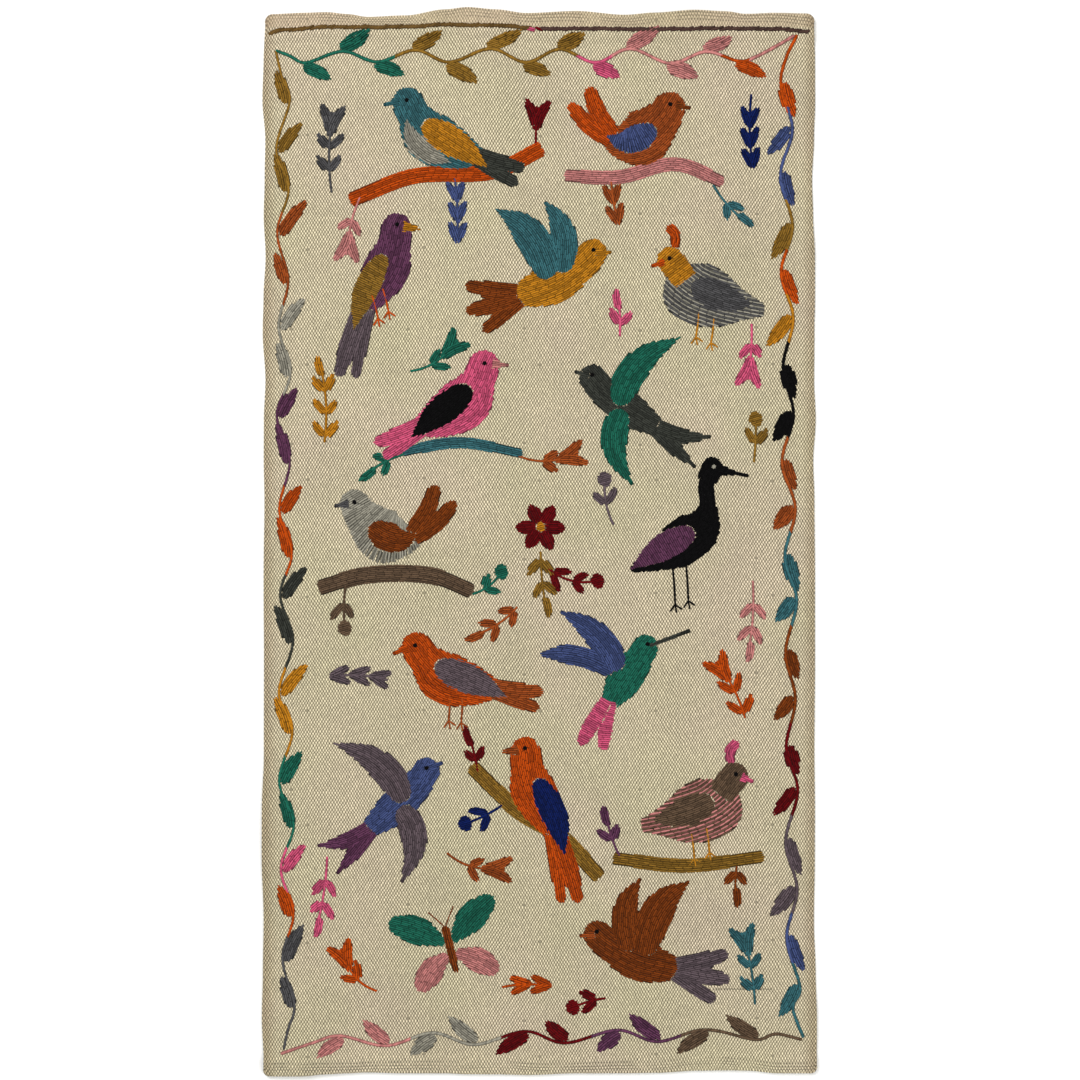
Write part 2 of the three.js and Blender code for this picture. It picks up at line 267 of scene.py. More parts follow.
# The cloth's closed skin: rings over the face, round a selvedge, back under, round the other.
# Each side lies half the thickness along the normal, and a selvedge is a half ellipse.
def makeCloth():
    middle, rib, inset = clothGrid()
    normal = np.cross(np.gradient(middle, axis=1), np.gradient(middle, axis=0))
    normal /= np.linalg.norm(normal, axis=-1, keepdims=True)
    half = cloth["thickness"] / 2
    roll = cloth["selvedgeRoll"] * np.exp(-((inset / cloth["selvedgeWidth"]) ** 2))
    upward = np.clip(normal[..., 2], 0, 1)
    proud = half + rib + (roll + puckerAt(middle[..., 0], middle[..., 1])) * upward
    face = middle + normal * proud[..., None]
    back = middle - normal * half

    steps = cloth["rimSteps"]
    rims = []
    for side, column in ((1, -1), (-1, 0)):
        angle = np.linspace(side, -side, steps + 2)[1:-1] * math.pi / 2
        height = np.sin(angle) * np.where(angle > 0, proud[:, column, None], half)
        rim = middle[:, column, None] + normal[:, column, None] * height[..., None]
        rim[..., 0] += side * cloth["selvedgeRound"] * np.cos(angle)
        rims.append(rim)
    rings = np.concatenate([face, rims[0], back[:, ::-1], rims[1]], 1)
    rows, size = rings.shape[:2]
    count = face.shape[1]

    around = np.arange(size)[:, None] + [0, 1, 1, 0]
    ring = np.arange(rows - 1)[:, None, None] + [0, 0, 1, 1]
    quads = (ring * size + around % size).reshape(-1, 4)
    column = np.arange(count - 1)
    backAt = size - 1 - steps - np.arange(count)
    cap = np.stack([column, backAt[:-1], backAt[1:], column + 1], 1)
    leftRim = [0, *range(size - 1, size - 1 - steps, -1), backAt[0]]
    rightRim = [count - 1, *range(backAt[-1], count - 1, -1)]
    rimCaps = np.array([leftRim, rightRim])
    last = (rows - 1) * size
    groups = [quads, cap, cap[:, ::-1] + last, rimCaps, rimCaps[:, ::-1] + last]

    # The rug's box is centred on the frame's, as the solids are.
    points = rings.reshape(-1, 3)
    seat = np.array(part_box("rug")).mean(0) / mm - (points.min(0) + points.max(0)) / 2
    seat[2] = 0
    piece, corners = makeMesh("woven_cloth", points + seat, groups)

    # The map follows the cloth: x across and the length of cloth along, in tiles of threads.
    gaps = np.linalg.norm(np.diff(middle, axis=0), axis=-1).mean(1)
    length = np.concatenate([[0], np.cumsum(gaps)])
    tile = [weave["warpPitch"] * weave["warpsInTile"], weave["weftPitch"] * weave["weftsInTile"]]
    x, y = rings[..., 0], length[:, None] + np.zeros(size)
    places = np.stack([x, y], -1) + threadWander(x, y)
    addUv(piece, "OFBake", (places.reshape(-1, 2) / tile + 0.5)[corners])
    quarter = middle[:, count // 4, 1]
    folds = length[[np.argmax(quarter), np.argmin(quarter)]]
    return piece, seat, float(length[-1]), folds / weave["weftPitch"] + weave["weftsInTile"] / 2


print("weaving the cloth")
wovenCloth, seat, flatLength, foldPicks = makeCloth()

# The yarns, as sRGB numbers, each with a lighter and a darker dye lot

yarns = dict(
    olive=(130, 96, 34), teal=(26, 94, 76), petrol=(52, 98, 104),
    navy=(10, 26, 80), blue=(62, 74, 116), crimson=(94, 5, 11),
    orange=(176, 68, 8), rust=(144, 68, 26), brown=(116, 54, 14),
    pink=(196, 80, 114), rose=(184, 118, 114), mustard=(176, 116, 24),
    plum=(90, 51, 77), mauve=(92, 79, 84), silver=(144, 140, 126),
    slate=(76, 75, 76), charcoal=(54, 56, 50), black=(7, 6, 7),
    bark=(92, 73, 56), hemOlive=(98, 74, 38), hemPlum=(72, 52, 46),
)
yarnNames = list(yarns)
# The last lot, 0.4, is no dye lot but painted shade: the dark between the rows, shown by the stitches
# beneath.
dyeLotsAndUnderShade = (1.0, 1.2, 0.76, 0.4)  # the last one is for the stitches beneath
dyeRows = 60  # after so many pairs of rows the run of lots comes again
atlas = dict(across=10, margin=0.06, longest=24.0)  # yarns and lots share one baked sheet


# The usual sRGB curve turned round, from 0 to 255 to linear light.
def linear(colour):
    share = np.array(colour, float) / 255
    return np.where(share <= 0.04045, share / 12.92, ((share + 0.055) / 1.055) ** 2.4)


# Threads

thread = dict(
    halfWidth=1.38, halfHeight=0.85, spacing=2.6, stitch=11.5,
    overlap=1.9, ragged=0.9, tuck=1.7, sides=4,
    looseness=0.25, partEvery=3, partBy=0.6, shortest=1.8,
    firstVaries=(0.8, 1.15), nextVaries=(0.75, 1.2), wholeUpTo=1.35, shortEnd=0.3,
    widthVaries=(0.92, 1.08), liftVaries=(-0.1, 0.14),
    ringAt=(0.0, 0.15, 0.5, 0.85, 1.0),
    ringRise=(-0.8, 0.2, 0.5, 0.2, -0.8),
    ringSize=(0.5, 0.96, 1.0, 0.96, 0.5),
)
underlay = dict(halfWidth=2.7, spacing=4.0, flatness=0.5, inset=1.3, overlap=5.0,
                shortest=6)
outlineStep = 0.7  # between the points of a shape's route
sewn = {}  # the stitches of each piece, as rows of numbers


# Adds stitches to a piece. Several yarns are taken in turn by the stitches' rows.
def addStitches(piece, starts, ends, yarn, halfWidth, lift, bulge=0.25, row=0, flatness=1, lot=None):
    count = len(starts)
    if count == 0:
        return
    row = np.zeros(count, int) + row
    if lot is None:
        rowLots = np.repeat(chance.choice(len(dyeLotsAndUnderShade) - 1, dyeRows), 2)
        ownLots = chance.choice(len(dyeLotsAndUnderShade) - 1, count)
        lot = np.where(chance.random(count) < 0.5, rowLots[row % len(rowLots)], ownLots)
    names = [yarn] if isinstance(yarn, str) else yarn
    numbers = np.array([yarnNames.index(name) for name in names])
    rows = np.column_stack([
        starts, ends, numbers[row % len(numbers)], np.zeros(count) + lot,
        halfWidth * chance.uniform(*thread["widthVaries"], count),
        lift + chance.uniform(*thread["liftVaries"], count) * flatness,
        chance.uniform(-bulge, bulge, count), np.full(count, flatness),
    ])
    sewn.setdefault(piece, []).append(rows)


# A smooth curve through points of any number of columns, in even steps along its length.
# Each stretch is the cubic whose slope at a point is half the way between its neighbours.
def smoothCurve(points, step=1.0):
    points = np.asarray(points, float)
    ends = np.vstack([2 * points[0] - points[1], points, 2 * points[-1] - points[-2]])
    t = np.linspace(0, 1, 17)[:-1, None, None]
    before, start, finish, beyond = ends[:-3], ends[1:-2], ends[2:-1], ends[3:]
    curve = 0.5 * (
        2 * start + (finish - before) * t
        + (2 * before - 5 * start + 4 * finish - beyond) * t ** 2
        + (3 * start - before - 3 * finish + beyond) * t ** 3
    )
    curve = curve.transpose(1, 0, 2).reshape(-1, points.shape[1])
    curve = np.vstack([curve, points[-1]])
    length = lengthAlong(curve[:, :2])
    places = np.linspace(0, length[-1], max(int(length[-1] / step), 3) + 1)
    return interpolate(places, length, curve), places


# How far each point of a route lies along it.
def lengthAlong(route):
    return np.concatenate([[0], np.cumsum(np.hypot(*np.diff(route, axis=0).T))])


# The points of a route at places along it.
def interpolate(places, length, route):
    return np.column_stack([np.interp(places, length, column) for column in route.T])


# The direction across a route, a quarter turn to the left of the way it runs.
def leftOf(route):
    along = np.gradient(route, axis=0)
    along /= np.maximum(np.linalg.norm(along, axis=1, keepdims=True), 1e-9)
    return np.column_stack([-along[:, 1], along[:, 0]])


# A shape along rows of x, y and half width. Its first or last end, or both, can be a half
# circle, and a blunt one has small round corners. Parts beneath tuck in under its outline.
def blade(points, ends):
    curve, places = smoothCurve(points, outlineStep)
    width = np.maximum(curve[:, 2], 0)
    length = places[-1]
    for name, point, left in (("first", points[0], places), ("last", points[-1], length - places)):
        if ends in (name, "both", "blunt"):
            reach = 3.0 if ends == "blunt" else max(min(point[2], length / 2), 0.1)
            width = width * np.sqrt(1 - np.clip(1 - left / reach, 0, 1) ** 2)
    route = curve[:, :2]
    side = leftOf(route)
    reach = np.maximum(width - thread["tuck"], 0)[:, None] * side
    tucked = int(thread["tuck"] / outlineStep)
    inner = slice(tucked, -tucked)
    outline = np.vstack([(route + reach)[inner], (route - reach)[inner][::-1]])
    return dict(route=route, side=side, width=width, outline=outline[::3])


# True where a line from a point to the right crosses the outline an odd number of times.
def insideOutline(points, outline):
    after = np.roll(outline, -1, axis=0)
    x, y = points[:, 0, None], points[:, 1, None]
    crosses = (outline[:, 1] > y) != (after[:, 1] > y)
    rise = after[:, 1] - outline[:, 1]
    rise = np.where(rise == 0, 1e-9, rise)
    reach = outline[:, 0] + (y - outline[:, 1]) * (after[:, 0] - outline[:, 0]) / rise
    return (crosses & (x < reach)).sum(1) % 2 == 1


# The runs of each row, along or across a shape, that lie inside it and outside the holes.
def rowRuns(shape, holes, offsets, across):
    places = shape["route"] + shape["side"] * offsets[:, None, None]
    mask = np.abs(offsets)[:, None] <= np.maximum(shape["width"], 0 if across else 0.3)
    if across:
        places, mask = places.transpose(1, 0, 2), mask.T.copy()
    for hole in holes:
        low, high = hole.min(0) - 1, hole.max(0) + 1
        near = mask & (places > low).all(-1) & (places < high).all(-1)
        if near.any():
            mask[near] &= ~insideOutline(places[near], hole)
    for row, (path, within) in enumerate(zip(places, mask)):
        change = np.flatnonzero(np.diff(np.concatenate([[0], within.view(np.int8), [0]])))
        for first, last in change.reshape(-1, 2):
            if last - first > 2:
                yield row, path[first:last]


# A run cut into stitches that overlap a little: where each starts and ends.
def cutRun(run, row, lap, ragged):
    length = lengthAlong(run)
    total = length[-1]
    stitch = thread["stitch"] * chance.uniform(*thread["firstVaries"])
    cuts = [0.0]
    if total > thread["wholeUpTo"] * stitch:
        cut = stitch * (0.35 + 0.65 * ((row * 0.382) % 1)) + chance.uniform(-1, 1)
        while cut < total - thread["shortEnd"] * stitch:
            cuts.append(cut)
            cut += stitch * chance.uniform(*thread["nextVaries"])
    cuts = np.array(cuts + [total])
    begin = cuts[:-1] - lap * (np.arange(len(cuts) - 1) > 0)
    finish = cuts[1:].copy()
    begin[0] += ragged[0]
    finish[-1] += ragged[1]
    slopeIn = (run[1] - run[0]) / max(length[1], 1e-6)
    slopeOut = (run[-1] - run[-2]) / max(length[-1] - length[-2], 1e-6)
    for where in (begin, finish):
        point = interpolate(where, length, run) + np.minimum(where, 0)[:, None] * slopeIn
        yield point + np.maximum(where - total, 0)[:, None] * slopeOut


# Where the rows of a shape run: even steps aside of its route, parting here and there.
def rowOffsets(widest, spacing, below):
    rows = max(int(2 * widest / spacing), 1)
    if below:
        return (np.arange(rows) - (rows - 1) / 2) * spacing
    parted = (np.arange(rows) + chance.integers(9)) % thread["partEvery"] == 0
    gaps = spacing + thread["looseness"] * chance.uniform(-1, 1, rows)
    gaps = gaps + thread["partBy"] * parted
    offsets = np.cumsum(gaps) - gaps / 2
    return (offsets - gaps.sum() / 2) * min(2 * widest / gaps.sum(), 1)


# Long-and-short stitches over a shape, in rows along or across it, and flatter stitches
# beneath them that close the gaps, painted darker as the shade between the rows.
def fillBlade(piece, shape, yarn, holes, across=False):
    widest = shape["width"].max()
    for below, layer in enumerate((thread, underlay)):
        rowShape = shape
        if across:
            steps = max(int(round(layer["spacing"] / outlineStep)), 1)
            rowShape = {key: shape[key][::steps] for key in ("route", "side", "width")}
            offsets = np.arange(-widest, widest + outlineStep, outlineStep)
        else:
            offsets = rowOffsets(widest, layer["spacing"], below)
        inset = underlay["inset"]
        stitches = []
        for row, run in rowRuns(rowShape, holes, offsets, across):
            if len(run) * outlineStep < layer["shortest"]:
                continue
            ragged = (inset, -inset) if below else thread["ragged"] * chance.uniform(-1, 1, 2)
            begin, finish = cutRun(run, row, layer["overlap"], ragged)
            stitches.append(np.column_stack([begin, finish, np.full(len(begin), row)]))
        if not stitches:
            continue
        stitches = np.vstack(stitches)
        look = dict(row=stitches[:, 4].astype(int), lift=0.0, halfWidth=layer["halfWidth"])
        # The stitches beneath take the last lot, the painted shade between the rows.
        if below:
            look.update(
                halfWidth=min(layer["halfWidth"], 0.8 * widest), flatness=layer["flatness"],
                lot=len(dyeLotsAndUnderShade) - 1, bulge=0,
            )
        addStitches(piece, stitches[:, :2], stitches[:, 2:4], yarn, **look)


# Stem stitch: short slanting stitches, each starting halfway along the one before it.
def sewLine(piece, points, yarn, halfWidth=1.15, slant=0.55, stitch=8.0, gap=4.0, lift=0.0):
    route, places = smoothCurve(np.asarray(points, float)[:, :2], 0.8)
    side = leftOf(route)
    total = places[-1]
    begin = np.arange(-stitch / 2, total - stitch / 4, gap)
    finish = np.minimum(begin + stitch, total)
    begin = np.maximum(begin, 0)
    long = finish - begin > 1.5
    starts = interpolate(begin[long], places, route - side * slant)
    ends = interpolate(finish[long], places, route + side * slant)
    addStitches(piece, starts, ends, yarn, halfWidth, lift, 0.1)


# Every stitch of a piece at once: an elliptical tube whose ends dive into the cloth.
def makeThreads(name, material):
    rows = np.vstack(sewn[name])
    start, end = rows[:, 0:2], rows[:, 2:4]
    yarn, lot = rows[:, 4:6].T.astype(int)
    halfWidth, lift, bulge, flatness = rows[:, 6:10].T
    count, sides, rings = len(rows), thread["sides"], len(thread["ringAt"])
    along = end - start
    length = np.maximum(np.linalg.norm(along, axis=1), 0.5)
    forward = along / length[:, None]
    side = np.column_stack([-forward[:, 1], forward[:, 0]])

    at = np.array(thread["ringAt"])
    size = np.array(thread["ringSize"])[:, None]
    bow = bulge[:, None] * 4 * at * (1 - at)
    ground = start[:, None] + along[:, None] * at[:, None] + side[:, None] * bow[..., None]
    rise = np.array(thread["ringRise"]) * np.clip(length / 8, 0.45, 1)[:, None]
    thick = np.where(flatness < 1, flatness, halfWidth / thread["halfWidth"])
    rise = np.where(rise > 0, rise * thick[:, None], rise)
    centreZ = faceAt(ground[..., 0], ground[..., 1]) + rise + lift[:, None]

    angle = (np.arange(sides) - 1) / sides * 2 * math.pi
    wide = halfWidth[:, None, None] * size * np.cos(angle)
    high = thread["halfHeight"] * thick[:, None, None] * size * np.sin(angle)
    flat = ground[:, :, None] + side[:, None, None] * wide[..., None]
    points = np.concatenate([flat, (centreZ[..., None] + high)[..., None]], -1).reshape(-1, 3)

    perStitch = rings * sides
    ringOf = np.arange(rings - 1)[:, None, None] + [0, 0, 1, 1]
    turnOf = np.arange(sides)[:, None] + [0, 1, 1, 0]
    quads = (ringOf * sides + turnOf % sides).reshape(-1, 4)
    caps = np.stack([np.arange(sides)[::-1], np.arange(sides) + (rings - 1) * sides])
    base = np.arange(count)[:, None, None] * perStitch
    groups = [(base + quads).reshape(-1, 4), (base + caps).reshape(-1, sides)]
    piece, corners = makeMesh(name, points + seat, groups)

    # One map runs along (in centimetres) and round each thread. The other puts all threads
    # of one yarn and lot on one cell of a sheet.
    alongRun = length[:, None, None, None] * at[ringOf]
    runs = np.stack(np.broadcast_arrays(alongRun, turnOf / sides), -1).reshape(-1, 2)
    turn = angle[caps % sides].ravel()
    capMap = np.stack([0.6 + 0.5 * np.cos(turn), 0.5 + 0.1 * np.sin(turn)], -1)
    runs = np.vstack([runs, np.tile(capMap, (count, 1))])
    addUv(piece, "alongThread", runs * [0.1, 1])
    margin = atlas["margin"]
    share = margin + (1 - 2 * margin) * np.clip(runs / [atlas["longest"], 1], 0, 1)
    cell = (yarn * len(dyeLotsAndUnderShade) + lot)[corners // perStitch]
    corner = np.column_stack([cell % atlas["across"], cell // atlas["across"]])
    addUv(piece, "OFBake", (corner + share) / atlas["across"])

    colours = np.array([linear(yarns[key]) for key in yarnNames])[yarn]
    colours = np.clip(colours * np.array(dyeLotsAndUnderShade)[lot][:, None], 0, 1)
    colours = np.repeat(np.column_stack([colours, np.ones(count)]), perStitch, 0)
    layer = piece.data.color_attributes.new("yarnColour", "FLOAT_COLOR", "POINT")
    layer.data.foreach_set("color", colours.astype(np.float32).ravel())
    piece.data.materials.append(material)
    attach(piece, "root")
    triangles = len(groups[0]) * 2 + len(groups[1]) * (sides - 2)
    print(name, count, "stitches", triangles, "triangles")
    return piece


# Shapes and lines sewn with those stitches


# Where the points of a motif come to lie: sized, turned by an angle, and moved.
def placed(points, at, turn=0.0, size=1.0, flip=1):
    points = np.array(points, float)
    x, y = points[:, 0] * size * flip, points[:, 1] * size
    turn = math.radians(turn)
    points[:, 0] = at[0] + x * math.cos(turn) - y * math.sin(turn)
    points[:, 1] = at[1] + x * math.sin(turn) + y * math.cos(turn)
    points[:, 2:] *= size
    return points


# The way to a place at a distance and a heading, in degrees.
def stepFrom(point, heading, distance):
    return placed([(distance, 0)], point, heading)[0]


# Sews one shape where nothing covers it yet, and adds it to what covers the later ones.
def sewShape(piece, rows, ends, yarn, covered, across=False):
    shape = blade(rows, ends)
    fillBlade(piece, shape, yarn, covered, across)
    covered.append(shape["outline"])


# Along, aside and half width, as shares of a leaf's length, its bend and its width.
leafRows = (
    (0, 0, 0.3), (0.14, 0.5, 0.74), (0.42, 1, 1), (0.7, 0.8, 0.78), (0.88, 0.4, 0.44), (1, 0, 0.1),
)
berryRows = ((-1, -0.3, 1), (0, 0, 1), (1, 0.3, 1))


# A leaf: widest a third of the way along, pointed at both ends, its spine a little bent.
def sewLeaf(piece, base, heading, length, width, yarn, covered, bend=0.1):
    rows = np.array(leafRows) * [length, bend * length, width]
    sewShape(piece, placed(rows, base, heading), "point", yarn, covered)


# A round berry: a short blade with two half-circle ends.
def sewBerry(piece, centre, reach, yarn, covered):
    sewShape(piece, np.array(berryRows) * reach + [centre[0], centre[1], 0], "both", yarn, covered)


# An eye: three short stitches over each other like the spokes of a star.
def sewEye(at, yarn="black", reach=3.3):
    angles = np.arange(3) * math.pi / 3 + 0.3
    spokes = np.column_stack([np.cos(angles), np.sin(angles)]) * reach
    addStitches("eyes_and_feet", at - spokes, at + spokes, yarn, 1.5, 1.0, 0)


# Thin legs, each a line with three toes spread at its foot.
def sewLegs(hips, yarn, where, length):
    for x, y in hips:
        hip, foot = placed([(x, y), (x + 3, y - length)], *where)
        sewLine("eyes_and_feet", [hip, (hip + foot) / 2 + [0.6, 0], foot], yarn, 1.4, 0.4, 7, 3.5)
        for angle in (-125, -80, -35):
            toe = stepFrom(foot, angle, 9 * fieldSize)
            sewLine("eyes_and_feet", [foot, (foot + toe) / 2, toe], yarn, 1.2, 0.3, 6, 3)


sprig = dict(
    stem=1.6, leaf=27, leafWidth=5.8, lean=36,
    clear=dict(tulip=23, leaf=27, berry=25), apart=31, lowest=6,
    petals=((-17, 43, 7.4), (17, 43, 7.4), (0, 34, 6.4)),
    bellsApart=28, tipBack=7,
    leanVaries=(-7, 7), leafVaries=(0.85, 1.12), widthVaries=(0.9, 1.1), leafBend=0.002,
    berry=10.5, berryAhead=15,
)


# A sprig: a bent stem whose heading turns evenly from its first value by the bend, pairs of
# leaves set apart along it, and a bloom at its tip. Bells sit along the stem like arrowheads.
def sewSprig(start, heading, bend, length, yarn, tip, covered):
    piece = "sprigs_and_berries"
    covered = list(covered)
    steps = int(length)
    angles = np.radians(heading + bend * (np.arange(steps) + 0.5) / steps)
    moves = np.column_stack([np.cos(angles), np.sin(angles)]) * length / steps
    route = np.vstack([[0, 0], np.cumsum(moves, 0)]) + start
    endHeading = heading + bend
    end = stepFrom(route[-1], endHeading, -sprig["tipBack"])
    if tip == "tulip":
        for spread, reach, wide in sprig["petals"]:
            rows = [(0, 0, 3), (0.5 * reach, 0.3 * spread, wide), (reach, spread, 0.4 * wide)]
            sewShape(piece, placed(rows, end, endHeading), "last", yarn, covered)
    elif tip == "bells":
        for back in np.arange(0, length - sprig["lowest"], sprig["bellsApart"]):
            apex = route[int(steps - back)]
            turned = heading + bend * (1 - back / length)
            for spread in (-1, 1):
                rows = [(18, 0, 1.2), (3, spread * 4.6, 6), (-13, spread * 12, 1.8)]
                sewShape(piece, placed(rows, apex, turned), "last", yarn, covered)
    elif tip == "berry":
        berryAt = stepFrom(end, endHeading, sprig["berryAhead"])
        sewBerry(piece, berryAt, sprig["berry"], yarn, covered)
    else:
        sewLeaf(piece, end, endHeading, 1.15 * sprig["leaf"], sprig["leafWidth"], yarn, covered)
    if tip != "bells":
        for place in np.arange(length - sprig["clear"][tip], sprig["lowest"], -sprig["apart"]):
            for spread in (-sprig["lean"], sprig["lean"]):
                turned = heading + bend * place / length + spread
                turned += chance.uniform(*sprig["leanVaries"])
                long = sprig["leaf"] * chance.uniform(*sprig["leafVaries"])
                wide = sprig["leafWidth"] * chance.uniform(*sprig["widthVaries"])
                bent = sprig["leafBend"] * spread
                sewLeaf(piece, route[int(place)], turned, long, wide, yarn, covered, bent)
    sewLine(piece, np.vstack([route[:-2:4], route[-1]]), yarn, sprig["stem"], 0.5)


# The birds, each facing right, in millimetres from its middle and topmost part first. A part
# has a name, and rows of x, y and half width along its spine. Eyes and hips are places.
birdKinds = dict(
    robin=[
        ("beak", (50, 34, 6), (69, 28, 0)),
        ("wing", (24, 14, 8.5), (4, 4, 15.5), (-22, -9, 14), (-52, -27, 0)),
        ("breast", (41, 18, 0), (33, -3, 9.5), (14, -18, 11), (-12, -25, 0)),
        ("tail", (-34, -14, 9), (-62, -20, 9), (-90, -22, 5)),
        ("tail", (-34, -18, 7.5), (-60, -30, 7.5), (-84, -40, 5)),
        ("body", (52, 47, 15), (41, 33, 16), (34, 21, 18),
                 (14, 0, 27.5), (-16, -11, 21.5), (-42, -17, 9.5)),
        ("eye", (43, 36)), ("legs", (10, -20), (-3, -23)),
    ],
    magpie=[
        ("beak", (34, 57, 6.5), (56, 51, 0)),
        ("wing", (12, 30, 7), (-4, 10, 14), (-20, -16, 12), (-33, -46, 0)),
        ("tail", (-20, -22, 10), (-38, -56, 10), (-56, -92, 5)),
        ("tail", (-14, -24, 7.5), (-26, -58, 7.5), (-38, -96, 4)),
        ("body", (37, 70, 14.5), (28, 56, 15.5), (24, 42, 17),
                 (12, 16, 24), (-8, -8, 19), (-24, -28, 8.5)),
        ("eye", (29, 60)), ("legs", (4, -4), (-8, -10)),
    ],
    swallow=[
        ("beak", (46, 28, 6), (65, 30, 0)),
        ("wing", (12, 0, 9.5), (6, 30, 15.5), (-12, 58, 12), (-44, 82, 0)),
        ("wing", (6, -2, 9.5), (12, -28, 14), (6, -54, 10.5), (-16, -82, 0)),
        ("tail", (-32, -16, 7.5), (-62, -22, 7.5), (-92, -18, 0)),
        ("tail", (-30, -18, 7.5), (-54, -36, 7.5), (-80, -54, 0)),
        ("body", (54, 36, 13), (43, 26, 14.5), (30, 15, 15.5),
                 (4, 0, 18), (-22, -12, 13), (-42, -20, 5)),
        ("eye", (44, 29)),
    ],
    wren=[
        ("beak", (40, 31, 6), (58, 27, 0)),
        ("wing", (18, 10, 8.5), (0, 0, 15.5), (-18, -3, 12), (-36, 5, 0)),
        ("tail", (-26, 4, 7.5), (-42, 30, 9), (-50, 58, 6)),
        ("tail", (-30, -2, 7.5), (-54, 18, 9), (-72, 42, 5)),
        ("body", (44, 44, 14.5), (34, 30, 17), (24, 17, 21.5),
                 (2, 0, 30), (-20, -2, 20.5), (-36, 4, 8.5)),
        ("eye", (35, 33)), ("legs", (6, -22), (-6, -22)),
    ],
    dove=[
        ("beak", (54, 19, 6), (73, 17, 0)),
        ("wing", (2, 0, 10.5), (-4, 34, 17.5), (-18, 62, 14), (-42, 84, 0)),
        ("wing", (16, 4, 9.5), (24, 34, 14), (22, 60, 10.5), (10, 84, 0)),
        ("tail", (-34, -8, 9), (-62, 0, 9), (-88, 10, 5)),
        ("tail", (-34, -12, 7.5), (-64, -16, 9), (-92, -18, 5)),
        ("tail", (-32, -16, 7.5), (-56, -30, 7.5), (-78, -42, 5)),
        ("body", (64, 30, 13), (51, 19, 15), (36, 9, 17),
                 (8, -4, 21.5), (-20, -9, 17), (-42, -12, 7)),
        ("eye", (53, 23)),
    ],
    heron=[
        ("beak", (32, 73, 5), (66, 66, 0)),
        ("wing", (8, 8, 8.5), (-14, -3, 15.5), (-36, -16, 13), (-62, -34, 0)),
        ("body", (36, 82, 11), (26, 73, 11.5), (19, 54, 8.5), (22, 34, 9.5),
                 (14, 12, 21.5), (-8, -6, 24), (-34, -20, 15.5), (-60, -34, 2.5)),
        ("eye", (28, 76)), ("legs", (-2, -22), (-16, -26)),
    ],
    quail=[
        ("crest", (34, 46, 3), (32, 60, 4.5), (42, 70, 6)),
        ("beak", (44, 32, 6), (60, 26, 0)),
        ("wing", (16, 8, 9.5), (-6, -2, 16.5), (-30, -10, 12), (-50, -14, 0)),
        ("head", (48, 44, 14), (37, 32, 15), (28, 20, 15), (22, 12, 14)),
        ("body", (38, 22, 19), (16, 2, 32.5), (-14, -10, 29),
                 (-40, -16, 15.5), (-62, -20, 6)),
        ("eye", (39, 35)), ("legs", (8, -22), (-8, -28)),
    ],
    hummingbird=[
        ("beak", (40, 27, 2.9), (86, 39, 0.4)),
        ("wing", (6, 4, 9.5), (-6, 32, 14), (-26, 56, 10.5), (-52, 74, 0)),
        ("wing", (0, 4, 8.5), (-26, 20, 10.5), (-52, 28, 9.5), (-80, 30, 0)),
        ("tail", (-12, -26, 7.5), (-30, -50, 9), (-44, -70, 6)),
        ("tail", (-8, -28, 7.5), (-16, -54, 9), (-20, -78, 6)),
        ("body", (46, 35, 12), (36, 26, 13), (25, 12, 15.5),
                 (8, -8, 18), (-6, -26, 11), (-14, -38, 3.5)),
        ("eye", (38, 29)),
    ],
)
partEnds = dict(beak="point", wing="first", breast="point", tail="last", body="first",
                head="first", crest="last")
partPieces = dict(wing="wings", tail="tails")  # the other parts are in bird_bodies


# A bird, topmost part first, so that later parts break off where the earlier ones lie.
def sewBird(kind, at, yarns, covered, turn=0, flip=1, across=()):
    where = (at, turn, fieldSize, flip)
    for name, *rows in birdKinds[kind]:
        if name == "eye":
            sewEye(placed(rows, *where)[0], yarns.get("eye", "black"))
        elif name == "legs":
            if "legs" in yarns:
                sewLegs(rows, yarns["legs"], where, 44 if kind == "heron" else 26)
        else:
            yarn = yarns.get(name, yarns["wing" if name == "tail" else "body"])
            piece = partPieces.get(name, "bird_bodies")
            sewShape(piece, placed(rows, *where), partEnds[name], yarn, covered, name in across)


# An open flower: petals all round a heart, each a blade that points outwards.
def sewFlower(at, yarn, heart, covered, petals=6, reach=38, width=9.5):
    sewBerry("sprigs_and_berries", at, 7, heart, covered)
    for petal in range(petals):
        heading = 360 / petals * petal + chance.uniform(-6, 6)
        long = reach * chance.uniform(0.92, 1.06)
        rows = [(4, 0, 0.55 * width), (0.6 * long, 0, width), (long, 0, 0.35 * width)]
        sewShape("sprigs_and_berries", placed(rows, at, heading), "last", yarn, covered)


# A butterfly seen from above: a slim body between two pairs of wings.
def sewButterfly(at, yarns, covered, turn):
    body = [(0, 26, 3.2), (0, 4, 4.6), (0, -26, 2.4)]
    sewShape("bird_bodies", placed(body, at, turn, fieldSize), "both", yarns["body"], covered)
    for side in (-1, 1):
        for name, rows in (
            ("wing", [(side * 4, 8, 4), (side * 30, 28, 15), (side * 58, 44, 7)]),
            ("tail", [(side * 4, -4, 4), (side * 26, -18, 13), (side * 44, -36, 7)]),
        ):
            sewShape("wings", placed(rows, at, turn, fieldSize), "last", yarns[name], covered)
        feeler = placed([(0, 24), (side * 8, 36), (side * 14, 44)], at, turn, fieldSize)
        sewLine("eyes_and_feet", feeler, yarns["body"], 0.85, 0.2, 7, 3.5)


